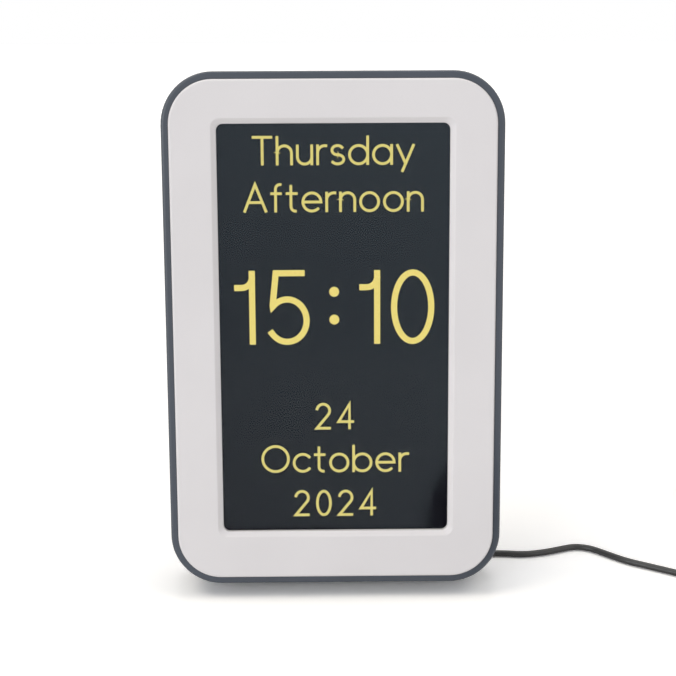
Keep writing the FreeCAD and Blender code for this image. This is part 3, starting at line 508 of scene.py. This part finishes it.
def polyimide():
    """Amber polyimide film over copper lines, smooth and half glossy."""
    material, tree, shader, place = surface("polyimide_film")
    lines = add(tree, "ShaderNodeTexWave", {"Vector": place, "Scale": ribbed(1.208)}, bands_direction="X")
    paint(tree, shader.inputs["Base Color"], lines.outputs["Fac"], "#B4651C", "#8A4A14")
    haze(tree, shader, place, 2.0, 0.3, 0.4)
    return material


def woven_strap():
    """A hook-and-loop strap of woven nylon: matt black with fine ribs and a fuzz of loops."""
    material, tree, shader, place = surface("nylon_strap", {"Sheen Weight": 0.3})
    ribs = add(tree, "ShaderNodeTexWave", {"Vector": place, "Scale": ribbed(0.952), "Distortion": 2.0})
    paint(tree, shader.inputs["Base Color"], ribs.outputs["Fac"], "#1B1B1C", "#2C2C2E")
    loops = add(tree, "ShaderNodeTexNoise", {"Vector": place, "Scale": spaced(0.35), "Detail": 4.0})
    roughen(tree, shader, loops.outputs[0], 0.12, 0.8, 0.8, 0.95)
    return material


def black_foam():
    """Closed-cell foam: dead black, pitted with cells."""
    material, tree, shader, place = surface("cell_foam")
    cells = add(tree, "ShaderNodeTexVoronoi", {"Vector": place, "Scale": spaced(0.5)}).outputs["Distance"]
    paint(tree, shader.inputs["Base Color"], cells, "#0E0E0F", "#232325")
    roughen(tree, shader, cells, 0.1, 0.7, 0.85, 0.95)
    return material


bezel_abs = moulded_abs("bezel_abs", "#E1DCDB", "#DED9D8", 0.7, 0.04, 0.5)
housing_abs = moulded_abs("housing_abs", "#3F454F", "#3B414A", 0.8, 0.08, 0.42)
key_abs = moulded_abs("key_abs", "#3C434C", "#383E47", 0.6, 0.04, 0.38)
adapter_abs = moulded_abs("adapter_abs", "#222224", "#1D1D1F", 0.8, 0.07, 0.4)
chip_epoxy = moulded_abs("chip_epoxy", "#1C1C1E", "#262628", 0.5, 0.02, 0.55)
tray_abs = moulded_abs("tray_polycarbonate", "#D8D8D4", "#CFCFCB", 0.8, 0.02, 0.45)
symbol_ink = moulded_abs("symbol_ink", "#C9CCD0", "#BFC3C8", 0.5, 0.01, 0.5)
# painted shade: the near-black that stands for the shade inside the screws' cross recesses
recess_shadow = moulded_abs("recess_shadow", "#0B0B0C", "#101011", 0.5, 0.01, 0.7)
lead_pvc = soft_rubber("lead_pvc", "#1A1918", "#21201E", 1.2, 0.38)
foot_rubber = soft_rubber("foot_rubber", "#1B1B1C", "#252526", 0.5, 0.75)
zinc_steel = plated_metal("zinc_plated_steel", "#B9BCBF", "#A9ADB1", 0.25, 0.4)
nickel = plated_metal("nickel_plated_brass", "#CFCBC2", "#BFBBB1", 0.15, 0.28)
lens_glass = coated_glass()
lcd_black = display_black()
large_figures = lit_figures("lit_figures_large", "#F0DF7E", "#EBD878")
small_figures = lit_figures("lit_figures_small", "#E1D57E", "#DBCE76")
circuit_green = solder_mask()
flex_film = polyimide()
strap_nylon = woven_strap()
gasket_foam = black_foam()

node_finishes = {
    "front_bezel": bezel_abs,
    "display_lens": lens_glass,
    "lcd_panel": lcd_black,
    "lcd_backlight": tray_abs,
    "lcd_clamps": zinc_steel,
    "clamp_screws": zinc_steel,
    "lcd_ribbon": flex_film,
    "rear_housing": housing_abs,
    "housing_screws": zinc_steel,
    "main_board": circuit_green,
    "key_board": circuit_green,
    "key_board_lead": flex_film,
    "board_screws": zinc_steel,
    "board_components": chip_epoxy,
    "button_switches": chip_epoxy,
    "power_jack": chip_epoxy,
    "cell_holder": chip_epoxy,
    "backup_cell": zinc_steel,
    "speaker": chip_epoxy,
    "speaker_gasket": gasket_foam,
    "speaker_leads": lead_pvc,
    "stand_hinge_pin": zinc_steel,
    "front_feet": foot_rubber,
    "stand_plate": housing_abs,
    "stand_pads": foot_rubber,
    "plug_sleeve": nickel,
    "power_plug": lead_pvc,
    "cord_tie": strap_nylon,
    "power_cord": lead_pvc,
    "cord_coil": lead_pvc,
    "power_cord_tail": lead_pvc,
    "power_adapter": adapter_abs,
    "adapter_pins": nickel,
}


def finish_nodes():
    """Every CAD solid gets its finish. The five keys share one."""
    for name, node in nodes.items():
        is_key = name.startswith("button_") and name != "button_switches"
        material = key_abs if is_key else node_finishes[name]
        if not node.material_slots:
            node.data.materials.append(material)
        for slot in node.material_slots:
            slot.material = material


# ---------------------------------------------------------------- pieces in the upright clock's frame
standing = (
    Matrix.Translation(Vector((0, footprint_shift, front_height)) * MM)
    @ Matrix.Rotation(-lean, 4, "X")
    @ Matrix.Scale(MM, 4)
)


def add_piece(name, mesh, material, body):
    """A finished mesh in metres becomes a piece that rides on a body."""
    if not mesh.materials:
        mesh.materials.append(material)
    piece = in_scene(name, mesh)
    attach(piece, body)


def closed_mesh(name, shape, place):
    """The finished shape as a mesh, its faces turned outwards, at its place in metres."""
    bmesh.ops.recalc_face_normals(shape, faces=shape.faces)
    mesh = bpy.data.meshes.new(name)
    shape.to_mesh(mesh)
    shape.free()
    mesh.transform(place)
    return mesh


# ---------------------------------------------------------------- lit characters
# Strokes are drawn along their middle, with the capitals' height as 1.
small_height = 0.68
bowl = small_height / 2
arch = 0.27
ascender = 1.0
full_turn = 360
degrees_per_step = 10
fewest_steps = 4

# An open stroke reaches past its ends by this part of its width, a corner is no sharper than this cosine
# of half its turn, and the strokes clear the glass and the panel by this in millimetres.
end_reach = 0.42
sharpest_corner = 0.35
stroke_clearance = 0.08


def arc(x, z, across, up, start, end):
    """Points along part of an ellipse, with angles in degrees from its right side."""
    steps = max(fewest_steps, round(abs(end - start) / degrees_per_step))
    angles = [math.radians(start + (end - start) * step / steps) for step in range(steps + 1)]
    return [(x + across * math.cos(angle), z + up * math.sin(angle)) for angle in angles]


def ring(x, z, across, up):
    """A whole ellipse."""
    return arc(x, z, across, up, 0, full_turn)


def stem(x, top, foot=0.0):
    """An upright stroke, from its top down."""
    return [(x, top), (x, foot)]


round_bowl = ring(bowl, bowl, bowl, bowl)
arched_leg = [(0, small_height - arch)] + arc(arch, small_height - arch, arch, arch, 180, 0) + [(2 * arch, 0)]
hanging_leg = [(0, small_height)] + arc(arch, arch, arch, arch, 180, full_turn)
glyphs = {
    "A": (0.80, [[(0, 0), (0.40, 1), (0.80, 0)], [(0.13, 0.33), (0.67, 0.33)]]),
    "O": (1.0, [ring(0.5, 0.5, 0.5, 0.5)]),
    "T": (0.68, [[(0, 1), (0.68, 1)], stem(0.34, 1)]),
    "a": (small_height, [round_bowl, stem(small_height, small_height)]),
    "b": (small_height, [round_bowl, stem(0, ascender)]),
    "c": (0.60, [arc(bowl, bowl, bowl, bowl, 42, 318)]),
    "d": (small_height, [round_bowl, stem(small_height, ascender)]),
    "e": (small_height, [[(0, bowl)] + arc(bowl, bowl, bowl, bowl, 0, 312)]),
    "f": (0.36, [arc(0.32, ascender - 0.17, 0.17, 0.17, 85, 180) + [(0.15, 0)], [(0, 0.66), (0.34, 0.66)]]),
    "h": (2 * arch, [arched_leg, stem(0, ascender)]),
    "n": (2 * arch, [arched_leg, stem(0, small_height)]),
    "o": (small_height, [round_bowl]),
    "r": (0.30, [arc(0.27, small_height - 0.27, 0.27, 0.27, 180, 80), stem(0, small_height)]),
    "s": (0.46, [arc(0.23, 0.51, 0.21, 0.17, 35, 270) + arc(0.23, 0.17, 0.23, 0.17, 90, -145)]),
    "t": (0.38, [stem(0.15, 0.94, 0.17) + arc(0.32, 0.17, 0.17, 0.17, 190, 270), [(0, 0.66), (0.36, 0.66)]]),
    "u": (2 * arch, [hanging_leg, stem(2 * arch, small_height)]),
    "y": (0.60, [[(0, small_height), (0.31, 0)], [(0.60, small_height), (0.19, -0.27)]]),
    "0": (0.54, [ring(0.27, 0.5, 0.27, 0.5)]),
    "1": (0.22, [[(0, 0.79), (0.07, 0.79)] + arc(0.07, 0.94, 0.15, 0.15, 280, 350), stem(0.22, 1)]),
    "2": (0.52, [arc(0.26, 0.73, 0.26, 0.27, 165, -38) + [(0, 0), (0.52, 0)]]),
    "4": (0.58, [[(0.44, 0), (0.44, 1), (0, 0.27), (0.58, 0.27)]]),
    "5": (0.54, [[(0.48, 1), (0.10, 1), (0.05, 0.53)] + arc(0.26, 0.31, 0.28, 0.31, 138, -145)]),
}


def add_stroke(shape, points, width):
    """A flat ribbon along the points, as a thin closed solid between the glass and the display. An
    open one reaches past its end points by nearly half its width."""
    closed = math.dist(points[0], points[-1]) < 1e-6
    points = [Vector(point) for point in points]
    if closed:
        points = points[:-1]
    else:
        reach = width * end_reach
        points[0] += (points[0] - points[1]).normalized() * reach
        points[-1] += (points[-1] - points[-2]).normalized() * reach
    front = lens_back + stroke_clearance
    back = panel_front - stroke_clearance
    count = len(points)
    rails = []
    for index, here in enumerate(points):
        before = points[index - 1] if index or closed else None
        after = points[(index + 1) % count] if index < count - 1 or closed else None
        sides = []
        for first, second in ((before, here), (here, after)):
            if first is not None and second is not None:
                run = (second - first).normalized()
                sides.append(Vector((-run.y, run.x)))
        middle = sum(sides, Vector((0, 0))).normalized()
        # a corner's edge goes out to where its two sides meet, but not all the way at a sharp one
        edge = middle * (width / 2 / max(middle.dot(sides[0]), sharpest_corner))
        rails.append(
            [
                shape.verts.new((here.x + side * edge.x, depth, here.y + side * edge.y))
                for side, depth in ((1, front), (-1, front), (-1, back), (1, back))
            ]
        )
    for index in range(count if closed else count - 1):
        first = rails[index]
        second = rails[(index + 1) % count]
        for corner in range(4):
            following = (corner + 1) % 4
            shape.faces.new((first[corner], first[following], second[following], second[corner]))
    if not closed:
        shape.faces.new(rails[0])
        shape.faces.new(reversed(rails[-1]))


def line_width(text, gap):
    """The width of a line of characters between the middles of its outer strokes."""
    return sum(glyphs[letter][0] for letter in text) + gap * (len(text) - 1)


def add_line(shape, text, left, baseline, cap, stroke, gap):
    """One line of characters, from its left end, on a baseline, in the upright clock's millimetres."""
    scale = cap - stroke
    x = left + stroke / 2
    for letter in text:
        advance, strokes = glyphs[letter]
        for points in strokes:
            placed = [(x + across * scale, baseline + stroke / 2 + up * scale) for across, up in points]
            add_stroke(shape, placed, stroke)
        x += (advance + gap) * scale


def lit_piece(name, shape, material):
    """The strokes become one piece behind the cover glass."""
    add_piece(name, closed_mesh(name, shape, standing), material, "clock_body")


def make_small_lines():
    """A weekday, a part of the day, a date, a month and a year, each centred on the display."""
    words = {
        "weekday": "Thursday",
        "daypart": "Afternoon",
        "date": "24",
        "month": "October",
        "year": "2024",
    }
    for name, text in words.items():
        shape = bmesh.new()
        cap, gap = (digit_cap, digit_gap) if text.isdigit() else (small_cap, letter_gap)
        width = line_width(text, gap) * (cap - small_stroke) + small_stroke
        baseline = window_centre + line_heights[name]
        add_line(shape, text, -width / 2, baseline, cap, small_stroke, gap)
        lit_piece("lit_" + name, shape, small_figures)


def make_time():
    """The hours and the minutes stand on each side of two round dots."""
    shape = bmesh.new()
    baseline = window_centre + line_heights["time"]
    hours = "15"
    minutes = "10"
    scale = time_cap - time_stroke
    hours_left = -time_group_gap - line_width(hours, time_gap) * scale - time_stroke
    add_line(shape, hours, hours_left, baseline, time_cap, time_stroke, time_gap)
    add_line(shape, minutes, time_group_gap, baseline, time_cap, time_stroke, time_gap)
    # a ring half as wide as the dot, with a stroke as wide as the ring, fills it
    radius = time_dot / 4
    for height in time_dot_heights:
        add_stroke(shape, ring(0, window_centre + height, radius, radius), 2 * radius)
    lit_piece("lit_time", shape, large_figures)


# ---------------------------------------------------------------- details on the back
def make_key_symbols():
    """Raised symbols in the keys' dished tops: three bars on the middle one, arrows on the others."""
    top = body_depth + key_proud
    low = top - symbol_foot
    high = top - symbol_top
    bar = [(x * bar_half[0], z * bar_half[1]) for x, z in square]
    arrow = [(-1.35, -0.75), (1.35, -0.75), (0, 1.25)]
    keys = {
        "menu": ((0, 0), 0),
        "up": ((0, 1), 0),
        "down": ((0, -1), 180),
        "left": ((-1, 0), 90),
        "right": ((1, 0), -90),
    }
    for name, ((across, up), turn) in keys.items():
        outlines = [arrow]
        if name == "menu":
            outlines = [[(x, z + rise) for x, z in bar] for rise in (-bar_spacing, 0, bar_spacing)]
        spin = Matrix.Rotation(math.radians(turn), 2)
        middle = Vector((across * key_pitch, key_centre + up * key_pitch))
        shape = bmesh.new()
        for outline in outlines:
            corners = [middle + spin @ Vector(corner) for corner in outline]
            face = shape.faces.new([shape.verts.new((x, low, z)) for x, z in corners])
            raised = bmesh.ops.extrude_face_region(shape, geom=[face])["geom"]
            moved = [item for item in raised if isinstance(item, bmesh.types.BMVert)]
            bmesh.ops.translate(shape, verts=moved, vec=(0, high - low, 0))
        bmesh.ops.bevel(shape, geom=shape.edges[:], offset=symbol_edge, segments=1, affect="EDGES")
        mesh = closed_mesh(name + "_symbol", shape, standing)
        add_piece(name + "_symbol", mesh, symbol_ink, name + "_key")


def make_screw_recesses():
    """The cross recesses in the six case screws, drawn as near-black crosses of painted shade, each turned as
    its screw was left.
    """
    tree = bpy.data.node_groups.new("screw_recesses", "GeometryNodeTree")
    interface = tree.interface
    interface.new_socket("Geometry", in_out="INPUT", socket_type="NodeSocketGeometry")
    sizes = {"Arm length": 2.9, "Arm width": 0.62, "Recess depth": 0.5}
    for name in sizes:
        interface.new_socket(name, in_out="INPUT", socket_type="NodeSocketFloat")
    interface.new_socket("Geometry", in_out="OUTPUT", socket_type="NodeSocketGeometry")
    given = tree.nodes.new("NodeGroupInput").outputs
    arms = []
    for across, up in (("Arm length", "Arm width"), ("Arm width", "Arm length")):
        size = add(
            tree, "ShaderNodeCombineXYZ", {"X": given[across], "Y": given["Recess depth"], "Z": given[up]}
        )
        arms.append(add(tree, "GeometryNodeMeshCube", {"Size": size.outputs[0]}).outputs["Mesh"])
    cross = tree.nodes.new("GeometryNodeMeshBoolean")
    cross.operation = "UNION"
    for arm in arms:
        tree.links.new(arm, cross.inputs["Mesh 2"])
    span = {"Min": 0.0, "Max": math.radians(90), "Seed": recess_seed}
    turn = add(tree, "FunctionNodeRandomValue", span, data_type="FLOAT")
    spin = add(
        tree, "FunctionNodeAxisAngleToRotation", {"Axis": (0.0, 1.0, 0.0), "Angle": turn.outputs["Value"]}
    )
    screws = add(
        tree,
        "GeometryNodeInstanceOnPoints",
        {"Points": given["Geometry"], "Instance": cross.outputs["Mesh"], "Rotation": spin.outputs[0]},
    )
    solid = add(tree, "GeometryNodeRealizeInstances", {"Geometry": screws.outputs[0]})
    coloured = add(
        tree, "GeometryNodeSetMaterial", {"Geometry": solid.outputs[0], "Material": recess_shadow}
    )
    add(tree, "NodeGroupOutput", {"Geometry": coloured.outputs[0]})

    # the crosses of painted shade stand a hair out of the heads, so that they show
    centre_depth = screw_head_back + recess_proud - sizes["Recess depth"] / 2
    places = [
        (side * case_screw_x, centre_depth, body_middle + row * case_screw_pitch)
        for side in (-1, 1)
        for row in (-1, 0, 1)
    ]
    points = bpy.data.meshes.new("screw_places")
    points.from_pydata(places, [], [])
    carrier = in_scene("screw_places", points)
    modifier = carrier.modifiers.new("recesses", "NODES")
    modifier.node_group = tree
    for socket in interface.items_tree:
        if socket.name in sizes:
            modifier[socket.identifier] = sizes[socket.name]
    evaluated = carrier.evaluated_get(bpy.context.evaluated_depsgraph_get())
    mesh = bpy.data.meshes.new_from_object(evaluated)
    bpy.data.objects.remove(carrier)
    mesh.transform(standing)
    add_piece("screw_recesses", mesh, recess_shadow, "clock_body")


def make_pin_sleeves():
    """Black insulating sleeves on the lower half of the adapter's round pins."""
    profile = [
        (sleeve_bore, sleeve_foot),
        (sleeve_outside, sleeve_foot),
        (sleeve_outside, sleeve_tip - sleeve_taper),
        (sleeve_outside - sleeve_edge, sleeve_tip - sleeve_edge),
        (sleeve_bore, sleeve_tip),
    ]
    shape = bmesh.new()
    for side in (-1, 1):
        middle = pin_x + side * pin_spacing / 2
        corners = [shape.verts.new((middle + radius, pin_y, height)) for radius, height in profile]
        edges = [shape.edges.new(pair) for pair in zip(corners, corners[1:] + corners[:1])]
        bmesh.ops.spin(
            shape,
            geom=corners + edges,
            axis=(0, 0, 1),
            cent=(middle, pin_y, 0),
            steps=sleeve_facets,
            angle=math.tau,
            use_merge=True,
        )
    bmesh.ops.remove_doubles(shape, verts=shape.verts, dist=1e-4)
    mesh = closed_mesh("pin_sleeves", shape, Matrix.Translation(on_table(0, 0, 0)) @ Matrix.Scale(MM, 4))
    mesh.shade_smooth()
    add_piece("pin_sleeves", mesh, adapter_abs, "clock_body")


def make_dark_thing():
    """A dark, rounded thing low in front of the clock. Nothing shows it but the cover glass, which
    mirrors it in its lower right corner."""
    material = bpy.data.materials.new("dark_thing")
    tree = empty_tree(material)
    black = add(tree, "ShaderNodeEmission", {"Strength": 0.0})
    add(tree, "ShaderNodeOutputMaterial", {"Surface": black.outputs[0]})
    middle_x, middle_z = dark_thing_middle
    half_x, half_z = dark_thing_half
    rim = []
    for corner in range(dark_thing_corners):
        turn = math.tau * corner / dark_thing_corners
        across = middle_x + half_x * math.cos(turn) + (dark_thing_reach if math.cos(turn) > 0 else 0)
        rim.append((across, dark_thing_depth, middle_z + half_z * math.sin(turn)))
    mesh = bpy.data.meshes.new("dark_thing")
    mesh.from_pydata(rim, [], [tuple(range(dark_thing_corners))])
    mesh.materials.append(material)
    thing = in_scene("dark_thing", mesh)
    thing.visible_camera = False
    thing.visible_diffuse = False
    thing.visible_shadow = False


make_camera()
make_world()
for lamp_name, lamp in lamps.items():
    make_lamp(lamp_name, *lamp)
make_floor()
finish_nodes()
make_pin_sleeves()
make_lead()
make_small_lines()
make_time()
make_key_symbols()
make_screw_recesses()
make_dark_thing()

bpy.context.scene.view_settings.view_transform = "Standard"
